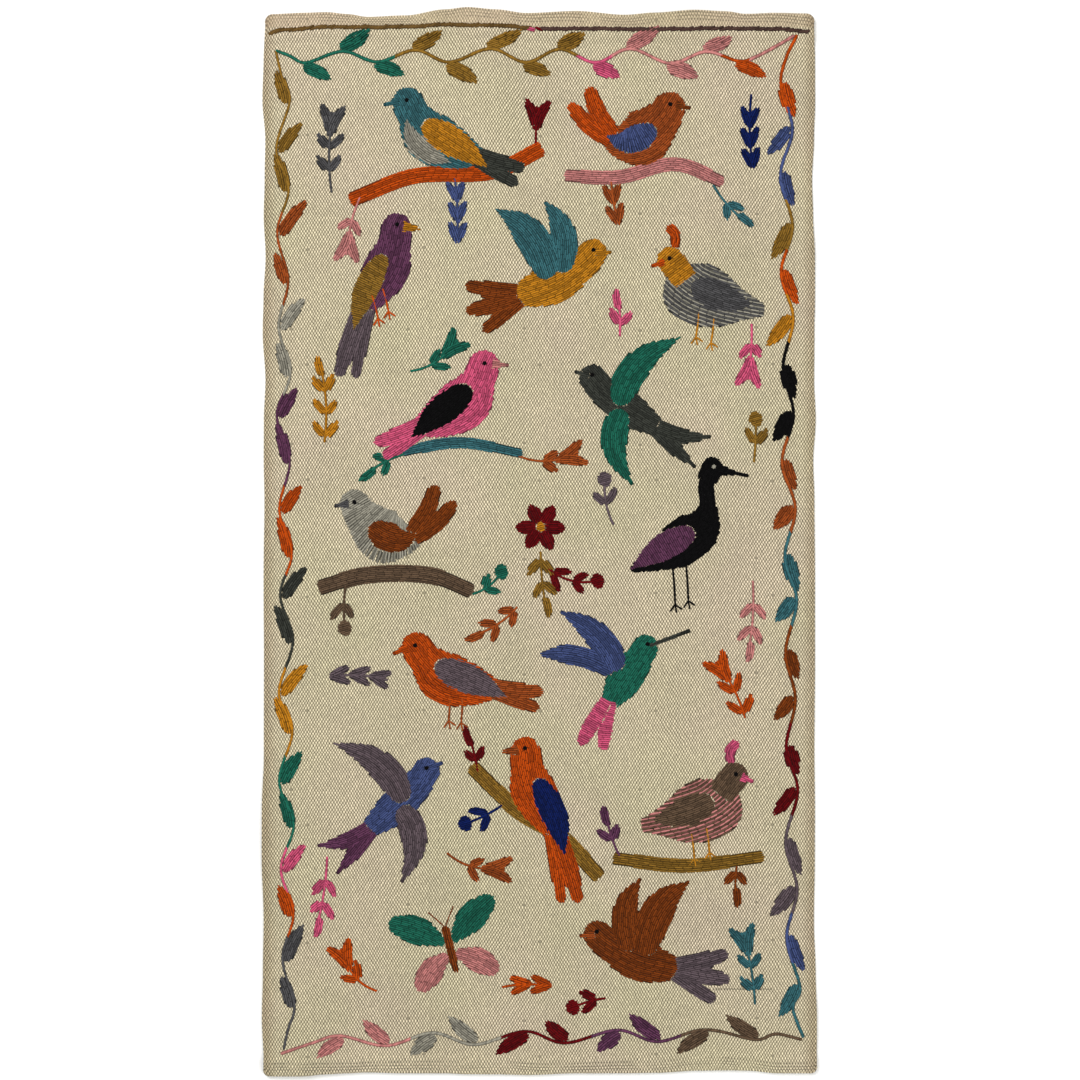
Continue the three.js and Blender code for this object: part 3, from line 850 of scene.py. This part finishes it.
# The plan of the field. A branch's rows and a sprig's start count from the bird's middle,
# before all is sized, and the last row's sprigs start at their own places on the rug.
fieldSize = 1.3
field = [
    dict(bird="robin", at=(-132, 557), flip=-1, turn=-6,
         yarns=dict(body="petrol", wing="mustard", breast="silver", tail="charcoal"),
         branch=("orange", [(-100, -66, 7), (-30, -40, 8), (50, -36, 8.5), (106, -10, 8)]),
         sprigs=[((-88, -62), 244, 20, 44, "rose", "tulip"),
                 ((98, -8), 92, -6, 22, "crimson", "tulip"),
                 ((12, -42), 278, -10, 56, "blue", "bells")]),
    dict(bird="wren", at=(138, 558), turn=4, across=("wing",),
         yarns=dict(body="rust", wing="blue", tail="orange", beak="brown"),
         branch=("rose", [(-80, -40, 6), (-22, -42, 7.5), (38, -28, 7.5), (90, -48, 6)]),
         sprigs=[((78, -50), 300, 20, 46, "petrol", "leaf"),
                 ((-30, -46), 274, 8, 34, "rust", "bells")]),
    dict(bird="magpie", at=(-222, 356), turn=8, across=("wing",),
         yarns=dict(body="plum", wing="olive", tail="mauve", beak="mustard", legs="orange"),
         sprigs=[((34, -92), 6, 40, 42, "teal", "tulip")]),
    dict(bird="dove", at=(12, 362), turn=10,
         yarns=dict(body="mustard", wing="petrol", tail="brown"),
         sprigs=[((76, -60), 86, 10, 34, "pink", "leaf")]),
    dict(bird="quail", at=(230, 346), flip=-1, across=("head",),
         yarns=dict(body=("slate", "silver"), head="mustard", wing="slate", crest="orange",
                    beak="orange", legs="mustard"),
         sprigs=[((48, -34), 272, -8, 40, "pink", "tulip")]),
    dict(bird="robin", at=(-120, 190), turn=12,
         yarns=dict(body="pink", wing="black", tail="pink", beak="rose"),
         branch=("petrol", [(-54, -50, 4.5), (8, -40, 6), (76, -52, 4)]),
         sprigs=[((70, -54), 336, 40, 46, "rust", "tulip"),
                 ((-50, -52), 196, 20, 40, "teal", "leaf")]),
    dict(bird="swallow", at=(124, 186), flip=-1, turn=-8,
         yarns=dict(body="charcoal", wing="teal", tail="charcoal"),
         sprigs=[((132, -58), 84, 6, 40, "olive", "berry")]),
    dict(bird="wren", at=(-212, 10), flip=-1, turn=-4, across=("body",),
         yarns=dict(body="silver", wing="brown", tail="brown", beak="slate"),
         branch=("bark", [(-72, -56, 7), (-20, -42, 9), (46, -42, 8.5), (94, -60, 7)]),
         sprigs=[((-42, -52), 262, 12, 40, "bark", "berry"),
                 ((92, -62), 14, 40, 34, "teal", "berry")]),
    dict(at=(2, 22), flower=("crimson", "mustard"),
         sprigs=[((0, -26), 270, 10, 54, "olive", "leaf"),
                 ((8, -44), 318, 50, 50, "crimson", "berry")]),
    dict(bird="heron", at=(204, 6), across=("wing",),
         yarns=dict(body="black", wing="plum", beak="black", legs="black", eye="silver"),
         sprigs=[((-78, 14), 118, -30, 44, "mauve", "berry")]),
    dict(bird="robin", at=(-112, -184), flip=-1, turn=4,
         yarns=dict(body="orange", wing="mauve", tail="rust", legs="rust"),
         sprigs=[((-74, -4), 164, 20, 50, "mauve", "bells")]),
    dict(bird="hummingbird", at=(104, -182), turn=6, across=("tail",),
         yarns=dict(body="teal", wing="blue", tail="pink", beak="charcoal"),
         sprigs=[((138, -46), 104, 20, 48, "orange", "tulip")]),
    dict(bird="swallow", at=(-200, -362), turn=16,
         yarns=dict(body="blue", wing="mauve", tail="plum"),
         sprigs=[((56, -50), 318, 40, 46, "rust", "tulip")]),
    dict(bird="magpie", at=(4, -366), flip=-1, turn=-10,
         yarns=dict(body="orange", wing="navy", tail="orange", beak="rust"),
         branch=("olive", [(62, -74, 7), (20, -30, 9), (-28, 0, 8.5), (-76, 46, 7)]),
         sprigs=[((-68, 38), 98, 10, 34, "crimson", "leaf"),
                 ((-42, 4), 216, -16, 38, "navy", "berry")]),
    dict(bird="quail", at=(220, -364),
         yarns=dict(body=("bark", "rose"), head="bark", wing="bark", crest="pink", beak="pink",
                    legs="mustard"),
         branch=("olive", [(-92, -54, 6), (-14, -62, 7.5), (70, -52, 5.5)]),
         sprigs=[((-84, -52), 118, -18, 40, "plum", "leaf"),
                 ((40, -62), 262, 10, 28, "brown", "leaf")]),
    dict(at=(-122, -560), turn=14,
         butterfly=dict(body="brown", wing="teal", tail="rose"),
         sprigs=[((-78, -44), 164, -50, 42, "orange", "tulip"),
                 ((54, -40), 12, -16, 40, "orange", "bells")]),
    dict(bird="dove", at=(146, -570), flip=-1, turn=-4,
         yarns=dict(body="brown", wing="brown", tail="mauve", beak="rust"),
         sprigs=[((-42, -44), 186, 16, 30, "crimson", "berry")]),
    dict(sprigs=[((-286, 482), 98, -14, 66, "slate", "tulip"),
                 ((292, 618), 264, 12, 66, "navy", "bells"),
                 ((-296, 138), 82, 20, 76, "mustard", "leaf"),
                 ((294, -52), 274, -14, 70, "rose", "leaf"),
                 ((297, -636), 92, 12, 58, "petrol", "tulip"),
                 ((-292, -432), 268, -12, 70, "pink", "leaf"),
                 ((-30, -88), 230, -30, 50, "rust", "leaf")]),
]


def sewField():
    for motif in field:
        at, yarns, covered = motif.get("at", (0, 0)), motif.get("yarns"), []
        if "bird" in motif:
            look = {key: motif[key] for key in ("turn", "flip", "across") if key in motif}
            sewBird(motif["bird"], at, yarns, covered, **look)
        elif "flower" in motif:
            sewFlower(at, *motif["flower"], covered)
        elif "butterfly" in motif:
            sewButterfly(at, motif["butterfly"], covered, motif["turn"])
        if "branch" in motif:
            yarn, rows = motif["branch"]
            sewShape("branches", placed(rows, at, 0, fieldSize), "blunt", yarn, covered)
        for start, heading, bend, length, yarn, tip in motif["sprigs"]:
            start = placed([start], at, 0, fieldSize if "at" in motif else 1)[0]
            sewSprig(start, heading, bend, length * fieldSize, yarn, tip, covered)


# The leaf vine round the border. A side's yarns are those of its leaves in turn, then its
# tail's. Lean is the angle of the leaves that lean inwards, then of the others.
vine = dict(
    wave=8.5, waveVaries=(0.75, 1.25), paceVaries=(-0.09, 0.09), leafBack=5, leafAside=4.5,
    leanVaries=(0.7, 1.15), leafVaries=(0.85, 1.15), widthVaries=(0.88, 1.1), leafBend=-0.05,
)
vineSides = [
    dict(head=(-352, -698), start=(-346, -670), finish=(-354, 640), tip=(-363, 678),
         leafSide=-1, firstSwing=-1, lean=(34, 19), stem=1.65, leaf=55, leafWidth=9.1, tail="olive",
         yarns="slate slate orange pink teal teal mustard mustard charcoal charcoal orange orange "
               "plum plum silver silver rust rust olive olive olive"),
    dict(head=(-363, 678), start=(-342, 670), finish=(300, 670), tip=(353, 699),
         leafSide=1, firstSwing=-1, lean=(26, 30), stem=2.2, leaf=48, leafWidth=10.3, tail="rose",
         yarns="teal teal teal olive olive olive olive olive pink rose rose rose orange"),
    dict(head=(355, 699), start=(340, 668), finish=(349, -640), tip=(364, -682),
         leafSide=-1, firstSwing=-1, lean=(34, 19), stem=2.1, leaf=49, leafWidth=9.6, tail="petrol",
         yarns="orange blue blue olive orange mustard black black rust rust petrol petrol brown "
               "brown crimson crimson mauve mauve blue petrol"),
    dict(head=(362, -684), start=(325, -676), finish=(-310, -688), tip=(-358, -704),
         leafSide=-1, firstSwing=1, lean=(38, 32), stem=2.0, leaf=49, leafWidth=9.8, tail="rose",
         yarns="bark bark plum plum crimson crimson silver silver rose rose"),
]


# One side of the vine: its stem swings to either side of straight as a smooth wave, and at each
# turn of the wave a leaf leans out, into the hollow (leafSide -1) or away from it (1).
def sewVine(side):
    start, finish = np.array(side["start"], float), np.array(side["finish"], float)
    run = np.linalg.norm(finish - start)
    forward = (finish - start) / run
    across = np.array([-forward[1], forward[0]])
    yarns = side["yarns"].split()
    count = len(yarns)
    pace = run / count
    signs = side["firstSwing"] * np.where(np.arange(count) % 2 == 0, 1, -1)
    swing = vine["wave"] * chance.uniform(*vine["waveVaries"], count) * signs
    crestAt = (np.arange(count) + 0.5) * pace + chance.uniform(*vine["paceVaries"], count) * pace
    crests = start + forward * crestAt[:, None] + across * swing[:, None]
    stem, _ = smoothCurve(np.vstack([side["head"], start, crests, finish, side["tip"]]), 1.0)
    at = np.array([np.argmin(np.hypot(*(stem - crest).T)) for crest in crests])
    cuts = np.concatenate([[0], (at[:-1] + at[1:]) // 2, [at[-1] + int(pace / 3)]])
    runHeading = math.degrees(math.atan2(forward[1], forward[0]))
    for leaf, yarn in enumerate(yarns):
        turned = signs[leaf] * side["leafSide"]
        base = stem[max(at[leaf] - vine["leafBack"], 0)] + across * turned * vine["leafAside"]
        lean = side["lean"][int(turned > 0)] * chance.uniform(*vine["leanVaries"])
        long = side["leaf"] * chance.uniform(*vine["leafVaries"])
        wide = side["leafWidth"] * chance.uniform(*vine["widthVaries"])
        heading, bent = runHeading + turned * lean, vine["leafBend"] * turned
        sewLeaf("vine_leaves", base, heading, long, wide, yarn, [], bent)
        stretch = stem[max(cuts[leaf] - 3, 0):cuts[leaf + 1] + 4:4]
        sewLine("vine_stems", stretch, yarn, side["stem"], 0.8)
    sewLine("vine_stems", stem[cuts[-1] - 3::4], side["tail"], side["stem"], 0.8)


# The line that holds the deep hem: rope-like stem stitch, one yarn up to the middle.
hemLine = dict(
    halfWidth=1.75, slant=2.3, stitch=12, gap=4.3, lift=0.2, waver=1.2,
    olive=(-372, -10), plum=(-1, 373),
    knots=(("pink", (-17, -1.8), (-6, -3.2)), ("pink", (-15, 0.8), (-5, -0.6)),
           ("crimson", (-6, 2.2), (3, -0.4)), ("crimson", (-4, 0), (5, -2.4))),
)


def sewHemLine(piece, ends, yarn):
    x = np.linspace(*ends, 90)
    waver = hemLine["waver"] * chance.uniform(-1, 1, len(x))
    look = [hemLine[key] for key in ("halfWidth", "slant", "stitch", "gap", "lift")]
    sewLine(piece, np.column_stack([x, hemLineAt(x) + waver]), yarn, *look)


# Where the two yarns meet, a few short stitches of other yarns finish them off.
def sewKnots():
    for yarn, *ends in hemLine["knots"]:
        start, end = (np.array([[x, rise + hemLineAt(x)]]) for x, rise in ends)
        addStitches("vine_leaves", start, end, yarn, 1.5, 1.1, 0)


# Looks

# A number, colour or vector that varies over a surface. Each sign on it adds a Math node.
class Value:
    def __init__(self, tree, socket):
        self.tree = tree
        self.socket = socket

    def __add__(self, other):
        return maths("ADD", self, other)

    def __sub__(self, other):
        return maths("SUBTRACT", self, other)

    def __rsub__(self, other):
        return maths("SUBTRACT", other, self)

    def __mul__(self, other):
        return maths("MULTIPLY", self, other)

    def __truediv__(self, other):
        return maths("DIVIDE", self, other)


# One shader node, with its settings, and its inputs by place or name: Values, numbers, colours.
def addNode(tree, kind, inputs, **settings):
    node = tree.nodes.new("ShaderNode" + kind)
    for name, setting in settings.items():
        setattr(node, name, setting)
    for place, value in inputs.items():
        if isinstance(value, Value):
            tree.links.new(value.socket, node.inputs[place])
        else:
            node.inputs[place].default_value = value if np.isscalar(value) else (*value, 1)
    return node


# One output of a node in the tree of its inputs.
def valueOf(kind, inputs, output=0, **settings):
    tree = next(value.tree for value in inputs.values() if isinstance(value, Value))
    return Value(tree, addNode(tree, kind, inputs, **settings).outputs[output])


def maths(operation, *inputs, clamp=False):
    return valueOf("Math", dict(enumerate(inputs)), operation=operation, use_clamp=clamp)


# A share that climbs from 0 to 1 as a value runs from one number on over a width.
def rampOf(value, start, width):
    return maths("DIVIDE", value - start, width, clamp=True)


def mixValue(share, first, second):
    return valueOf("Mix", {0: share, 2: first, 3: second})


def mixColour(share, first, second, blend="MIX"):
    return valueOf("Mix", {0: share, 6: first, 7: second}, 2, data_type="RGBA", blend_type=blend)


def joinVector(*parts):
    return valueOf("CombineXYZ", dict(enumerate(parts)))


def noiseOf(place, scale, detail=2.0, roughness=0.5):
    settings = {"Vector": place, "Scale": scale, "Detail": detail, "Roughness": roughness}
    return valueOf("TexNoise", settings, "Fac")


# All outputs of a node, by name.
def outputsOf(tree, kind, inputs, **settings):
    outputs = addNode(tree, kind, inputs, **settings).outputs
    return {output.name: Value(tree, output) for output in outputs}


# The x and y of a vector.
def splitVector(vector):
    parts = outputsOf(vector.tree, "SeparateXYZ", {0: vector})
    return parts["X"], parts["Y"]


# A node group with the given inputs. Its outputs are what the work function makes of them.
def newGroup(name, labels, work):
    group = bpy.data.node_groups.new(name, "ShaderNodeTree")
    for label in labels:
        kind = "NodeSocketVector" if label == "Map" else "NodeSocketFloat"
        group.interface.new_socket(label, in_out="INPUT", socket_type=kind)
    given = group.nodes.new("NodeGroupInput").outputs
    results = work(*(Value(group, given[label]) for label in labels))
    for label in results:
        group.interface.new_socket(label, in_out="OUTPUT", socket_type="NodeSocketFloat")
    end = group.nodes.new("NodeGroupOutput")
    for label, value in results.items():
        group.links.new(value.socket, end.inputs[label])
    return group


weaveLook = dict(
    dive=0.5, warpRound=0.62, weftRound=0.4, warpFill=0.49, weftFill=0.45,
    low=0.0, high=1.05, ply=0.05, pitFrom=0.3, pitWide=0.5, pitShade=0.85,
)


# Plain weave. Warp and weft rise and dive as crossed cosines, each with a half-ellipse section,
# and the higher one shows. Where the weft shows it lies in a pit. The relief is painted shade too:
# darker where a thread lies low, darkest at a pit's middle. Each crossing has its own tint, the
# same in every tile of the map.
def plainWeave(place, lean):
    look = weaveLook
    mapX, mapY = splitVector(place)
    along = mapY * weave["weftsInTile"]
    weftNumber = maths("ROUND", along)
    offWeft = along - weftNumber
    across = mapX * weave["warpsInTile"] + offWeft * lean
    warpNumber = maths("ROUND", across)
    offWarp = across - warpNumber

    def cosineOf(value):
        return maths("COSINE", value * math.pi)

    def crown(off, fill, height):
        share = off / fill
        return maths("SQRT", maths("MAXIMUM", 1 - share * share, 0)) * height

    warpDive = cosineOf(warpNumber) * cosineOf(along) * look["dive"]
    weftDive = cosineOf(weftNumber) * cosineOf(across) * look["dive"]
    warpZ = crown(offWarp, look["warpFill"], look["warpRound"]) + warpDive
    weftZ = crown(offWeft, look["weftFill"], look["weftRound"]) - weftDive
    height = maths("MAXIMUM", warpZ, weftZ)
    warpShows = maths("GREATER_THAN", warpZ, weftZ)
    pit = rampOf(cosineOf(across) * cosineOf(along) * -1, look["pitFrom"], look["pitWide"])
    # Painted shade: the lower a thread lies the darker it is, and darkest in the pits.
    depth = rampOf(height, look["low"], look["high"] - look["low"]) * (1 - pit * look["pitShade"])
    crossing = joinVector(
        maths("FLOORED_MODULO", warpNumber, weave["warpsInTile"]),
        maths("FLOORED_MODULO", weftNumber, weave["weftsInTile"]), warpShows,
    )
    tint = valueOf("TexWhiteNoise", {"Vector": crossing})
    ply = maths("SINE", (offWarp + offWeft) * (4 * math.pi)) * look["ply"]
    return dict(Height=height + ply, Depth=depth, Warp=warpShows, Tint=tint)


twist = dict(fibreScale=9, fibreStretch=2.2, fibreRise=0.6, fibreShade=0.5, plyShade=0.14, light=1.08)


# A twisted two-ply yarn. The map runs along it in centimetres and once round it. The plies are
# a sine wave that climbs round the thread, and its flanks fall into shade.
def twistedYarn(place, turns, flankShade):
    along, turn = splitVector(place)
    ply = maths("SINE", (along * turns + turn * 2) * (2 * math.pi)) * 0.5 + 0.5
    place = joinVector(along, turn * twist["fibreStretch"], 0)
    fibres = noiseOf(place, twist["fibreScale"], 3, 0.6)
    crown = maths("SINE", (turn - 1 / thread["sides"]) * (2 * math.pi)) * 0.5 + 0.5
    shade = twist["light"] - (1 - crown) * flankShade - (1 - ply) * twist["plyShade"]
    shade = shade * ((fibres - 0.5) * twist["fibreShade"] + 1)
    return dict(Height=fibres * twist["fibreRise"] + ply, Shade=shade)


def newMaterial(name):
    material = bpy.data.materials.new(name)
    material.use_nodes = True
    return material, material.node_tree, material.node_tree.nodes["Principled BSDF"]


# Gives a material's shader its colour and bump, and the constants of its look.
def finishShader(tree, shader, colour, height, look):
    settings = {"Strength": look["bump"], "Distance": look["bumpDepth"] * mm, "Height": height}
    tree.links.new(addNode(tree, "Bump", settings).outputs["Normal"], shader.inputs["Normal"])
    tree.links.new(colour.socket, shader.inputs["Base Color"])
    for label, key in (
        ("Roughness", "roughness"), ("Sheen Weight", "sheen"), ("Specular IOR Level", "gloss"),
    ):
        shader.inputs[label].default_value = look[key]


clothLook = dict(
    # Warp and weft are one cream wool: the weft is painted darker as the shade it lies in, and gap is
    # the painted shade deep between the threads.
    warp=(236, 223, 190), weft=(224, 210, 174), gap=(36, 30, 16),
    pink=(255, 251, 254), straw=(252, 254, 247), grey=(196, 184, 172),
    hem=(248, 241, 238), hemSoft=0.4, hemReliefShade=0.62, ease=0.1,
    bump=0.6, bumpDepth=0.8, roughness=0.92, sheen=0.12, gloss=0.25,
    strayScales=(110, 90), leanScale=14, leanBy=2.2, tintBy=0.26, tintMean=0.97,
    cloudScale=9, cloudBy=0.24, hazeScale=5, haze=(0.35, 0.3), patchScale=22, patch=(0.35, 0.2),
    hemEase=0.004, lineHalf=0.08, lineEase=0.22, sideBy=0.6,
    hemFrom=0.706, hemLines=(4, 8, 12.5), lowLines=(7, 11, 15.5), hemLineDark=0.42,
    sideFrom=0.362, sideWide=0.014,
    fleckShare=0.9985, fleckDark=0.4, stray=1.1,
    darkPick=dict(y=-616, start=0.235, finish=0.317, dark=0.45, half=0.0006, ease=0.0008, ends=0.008),
)


# Cream cloth: warp over weft painted darker as shade, painted shade deep in the gaps, soft clouds
# of pink and straw, greyer sides and hem, thin dark lines between the picks next to the folds,
# one dark pick and a few dark flecks.
def clothMaterial():
    material, tree, shader = newMaterial("creamWeave")
    look = clothLook
    place = outputsOf(tree, "TexCoord", {})["Object"]
    x, y = splitVector(place)
    uv = outputsOf(tree, "UVMap", {}, uv_map="OFBake")["UV"]
    mapX, mapY = splitVector(uv)
    scaleX, scaleY = look["strayScales"]
    stray = joinVector(
        noiseOf(place, scaleX) * (look["stray"] / weave["warpsInTile"]) + mapX,
        noiseOf(place, scaleY) * (look["stray"] / weave["weftsInTile"]) + mapY, 0,
    )
    lean = (noiseOf(place, look["leanScale"], 1) - 0.5) * look["leanBy"]
    group = newGroup("plainWeave", ("Map", "Lean"), plainWeave)
    woven = outputsOf(tree, "Group", {"Map": stray, "Lean": lean}, node_tree=group)

    # The weft is painted a little darker than the warp, as shade.
    yarn = mixColour(woven["Warp"], linear(look["weft"]), linear(look["warp"]))
    tint = (woven["Tint"] - 0.5) * look["tintBy"] + look["tintMean"]
    cloud = (noiseOf(place, look["cloudScale"], 3, 0.6) - 0.5) * look["cloudBy"] + 1
    hem = rampOf(y, look["hemFrom"], look["hemEase"])
    # The relief shade is painted: the gap colour darkens the cloth where the threads lie low and in
    # the pits, evened out in the hem.
    depth = mixValue(look["ease"], woven["Depth"], woven["Depth"] * woven["Depth"])
    depth = mixValue(hem * look["hemSoft"], depth, look["hemReliefShade"])
    colour = mixColour(depth, linear(look["gap"]), yarn)

    pick = mapY * weave["weftsInTile"]
    topFold, lowFold = foldPicks
    lines = [topFold - inset / weave["weftPitch"] for inset in look["hemLines"]]
    lines += [lowFold + inset / weave["weftPitch"] for inset in look["lowLines"]]
    patchy = rampOf(noiseOf(place, look["patchScale"], 1), *look["patch"]) * look["hemLineDark"]
    dark = maths("GREATER_THAN", woven["Tint"], look["fleckShare"]) * (1 - look["fleckDark"])
    for linePick in lines:
        line = 1 - rampOf(maths("ABSOLUTE", pick - linePick), look["lineHalf"], look["lineEase"])
        dark = maths("MAXIMUM", dark, line * patchy)
    stripe = look["darkPick"]
    line = 1 - rampOf(maths("ABSOLUTE", y - stripe["y"] * mm), stripe["half"], stripe["ease"])
    line = line * rampOf(x, stripe["start"], stripe["ends"])
    line = line * (1 - rampOf(x, stripe["finish"], stripe["ends"]))
    dark = maths("MAXIMUM", dark, line * stripe["dark"])

    haze = rampOf(noiseOf(place, look["hazeScale"]), *look["haze"])
    hue = mixColour(haze, linear(look["straw"]), linear(look["pink"]))
    side = rampOf(maths("ABSOLUTE", x), look["sideFrom"], look["sideWide"]) * look["sideBy"]
    for share, tone in (
        (1.0, tint * cloud * (1 - dark)), (1.0, hue), (side, linear(look["grey"])),
        (hem, linear(look["hem"])),
    ):
        colour = mixColour(share, colour, tone, "MULTIPLY")
    finishShader(tree, shader, colour, woven["Height"], look)
    return material


yarnLook = dict(
    crewelYarn=dict(turns=2, flank=0.8, bump=0.5, bumpDepth=0.35,
                    roughness=0.9, sheen=0.02, gloss=0.06),
    hemYarn=dict(turns=1.5, flank=0.7, bump=0.6, bumpDepth=0.5,
                 roughness=0.9, sheen=0.02, gloss=0.06),
)


# Wool yarn: the stitch's own colour, shaded by the twist.
def yarnMaterial(name, group):
    material, tree, shader = newMaterial(name)
    look = yarnLook[name]
    values = {
        "Map": outputsOf(tree, "UVMap", {}, uv_map="alongThread")["UV"],
        "Turns": look["turns"], "Flank Shade": look["flank"],
    }
    twisted = outputsOf(tree, "Group", values, node_tree=group)
    dye = outputsOf(tree, "Attribute", {}, attribute_name="yarnColour")["Color"]
    colour = mixColour(1.0, dye, twisted["Shade"], "MULTIPLY")
    finishShader(tree, shader, colour, twisted["Height"], look)
    return material


print("sewing the field")
sewField()
print("sewing the vine")
for side in vineSides:
    sewVine(side)
sewHemLine("hem_yarn_olive", hemLine["olive"], "hemOlive")
sewHemLine("hem_yarn_plum", hemLine["plum"], "hemPlum")
sewKnots()

wovenCloth.data.materials.append(clothMaterial())
yarnGroup = newGroup("twistedYarn", ("Map", "Turns", "Flank Shade"), twistedYarn)
materials = {name: yarnMaterial(name, yarnGroup) for name in yarnLook}
stitched = {
    name: makeThreads(name, materials["hemYarn" if name.startswith("hem") else "crewelYarn"])
    for name in sewn
}

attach(wovenCloth, "root")
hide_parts("rug")
for colour in ("olive", "plum"):
    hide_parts("hem_line_" + colour)
flatLength * mm

# The floor, the light and the camera

studio = dict(
    floor=(250, 250, 248), floorRough=0.95, floorSize=8, floorDrop=0.4, world=0.48,
    lens=85, sensor=36, view=1487.2, centre=(0.8, 2.5), faceHeight=3,
    lights=dict(key=((-1.7, 2.0, 3.2), 2.6, 130), fill=((2.2, -1.6, 3.0), 3.0, 69)),
)

corner = studio["floorSize"] / 2
drop = -studio["floorDrop"] * mm
floorMesh = bpy.data.meshes.new("floor")
corners = [(x * corner, y * corner, drop) for x, y in ((-1, -1), (1, -1), (1, 1), (-1, 1))]
floorMesh.from_pydata(corners, [], [(0, 1, 2, 3)])
floor = bpy.data.objects.new("floor", floorMesh)
scene.collection.objects.link(floor)
floorPaint, floorTree, floorShader = newMaterial("paleFloor")
floorShader.inputs["Base Color"].default_value = (*linear(studio["floor"]), 1)
floorShader.inputs["Roughness"].default_value = studio["floorRough"]
floorMesh.materials.append(floorPaint)
floor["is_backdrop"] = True

scene.world = bpy.data.worlds.new("studio")
scene.world.use_nodes = True
sky = scene.world.node_tree.nodes["Background"]
sky.inputs["Color"].default_value = (1, 1, 1, 1)
sky.inputs["Strength"].default_value = studio["world"]

for name, (place, size, watts) in studio["lights"].items():
    lamp = bpy.data.lights.new(name, "AREA")
    lamp.shape = "DISK"
    lamp.size = size
    lamp.energy = watts
    light = bpy.data.objects.new(name, lamp)
    light.location = place
    light.rotation_euler = (-Vector(place)).to_track_quat("-Z", "Y").to_euler()
    scene.collection.objects.link(light)

lens = bpy.data.cameras.new("camera")
lens.lens = studio["lens"]
lens.sensor_width = studio["sensor"]
camera = bpy.data.objects.new("camera", lens)
away = studio["view"] * studio["lens"] / studio["sensor"] + studio["faceHeight"]
camera.location = (studio["centre"][0] * mm, studio["centre"][1] * mm, away * mm)
scene.collection.objects.link(camera)
scene.camera = camera

sizes = {"cad": cadBox, "visual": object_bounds()}
{name: [list(end) for end in box] for name, box in sizes.items()}
